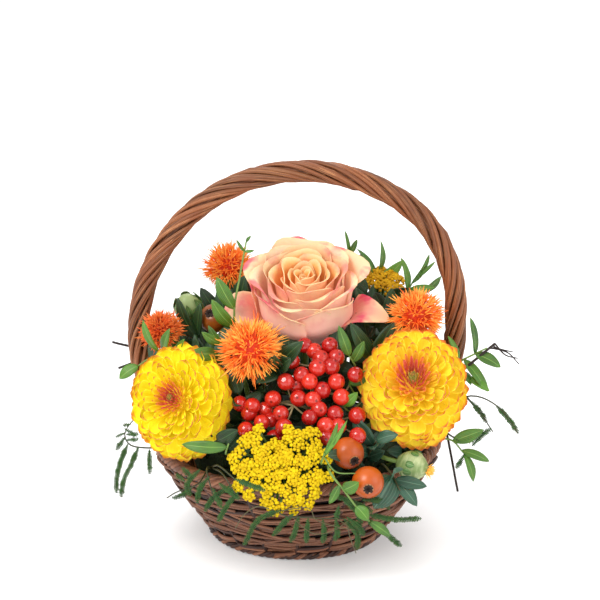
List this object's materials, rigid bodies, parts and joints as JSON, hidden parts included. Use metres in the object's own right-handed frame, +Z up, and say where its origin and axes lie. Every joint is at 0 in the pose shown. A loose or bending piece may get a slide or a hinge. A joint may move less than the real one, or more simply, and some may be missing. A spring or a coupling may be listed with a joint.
{
  "type": "flower basket arrangement",
  "caption": "Round willow basket with a twisted hoop handle, filled with a rose, dahlias, safflowers, yarrow, berries, rose hips, ferns and leafy sprays.",
  "frame": {"origin": "centre of the basket's flat underside, on the surface it stands on", "axes": "+Z up; the arrangement faces -Y; the hoop handle spans along X"},
  "size_m": [0.2661, 0.233, 0.2516],
  "materials": {
    "willow": "satin, dark red-brown peeled rods",
    "handle_willow": "satin, red-brown rods with pale worn edges",
    "liner_film": "thin black film, slightly glossy",
    "foam": "wet dark green floral foam, matte",
    "stem": "fresh green stem, satin",
    "light_leaf": "bright mid-green leaf, satin",
    "dark_leaf": "dark green leaf, satin",
    "fern": "mid-green fern, matte",
    "twig": "near-black bark, matte",
    "rose": "velvety petals, cream-peach inside, pink outside",
    "dahlia": "matte petals, yellow with orange tips and a red and green heart",
    "safflower": "fine matte florets, orange to red-orange",
    "berry": "glossy red skin on pale green stalks",
    "yarrow": "dense matte yellow florets",
    "hip": "glossy orange skin with a dark brown crown",
    "bud": "matte pale green scales"
  },
  "bodies": {
    "root": {"back_leaves_1": "dark_leaf", "back_leaves_2": "light_leaf", "back_leaves_3": "dark_leaf", "back_leaves_4": "dark_leaf", "back_leaves_5": "light_leaf", "basket_base": "willow", "basket_border": "willow", "basket_wall": "willow", "berry_bunch": "berry", "bud_left": "bud", "bud_left_stem": "stem", "bud_right": "bud", "bud_right_stem": "stem", "dahlia_left_bloom": "dahlia", "dahlia_left_stem": "stem", "dahlia_right_bloom": "dahlia", "dahlia_right_stem": "stem", "dark_leaves_above_berries": "dark_leaf", "dark_leaves_around_bud_left": "dark_leaf", "dark_leaves_around_bud_right": "dark_leaf", "dark_leaves_right_of_rose": "dark_leaf", "fern_back": "fern", "fern_front": "fern", "fern_front_left": "fern", "fern_front_right": "fern", "fern_left": "fern", "fern_right": "fern", "foam": "foam", "handle": "handle_willow", "hip_front_stem": "stem", "hip_left": "hip", "hip_left_stem": "stem", "hip_lower": "hip", "hip_upper": "hip", "light_leaves_among_berries": "light_leaf", "light_leaves_behind_right": "light_leaf", "light_leaves_beside_rose": "light_leaf", "light_leaves_centre_left": "light_leaf", "light_leaves_front_left": "light_leaf", "light_leaves_front_right": "light_leaf", "light_leaves_left": "light_leaf", "light_leaves_right_low": "light_leaf", "light_leaves_right_outside": "light_leaf", "liner": "liner_film", "rose_bloom": "rose", "rose_stem": "stem", "safflower_1_florets": "safflower", "safflower_1_stem": "stem", "safflower_2_florets": "safflower", "safflower_2_stem": "stem", "safflower_3_florets": "safflower", "safflower_3_stem": "stem", "safflower_4_florets": "safflower", "safflower_4_stem": "stem", "twig_left": "twig", "twig_right": "twig", "yarrow_back_head": "yarrow", "yarrow_back_stem": "stem", "yarrow_front_head": "yarrow", "yarrow_front_stem": "stem"}
  },
  "joints": []
}
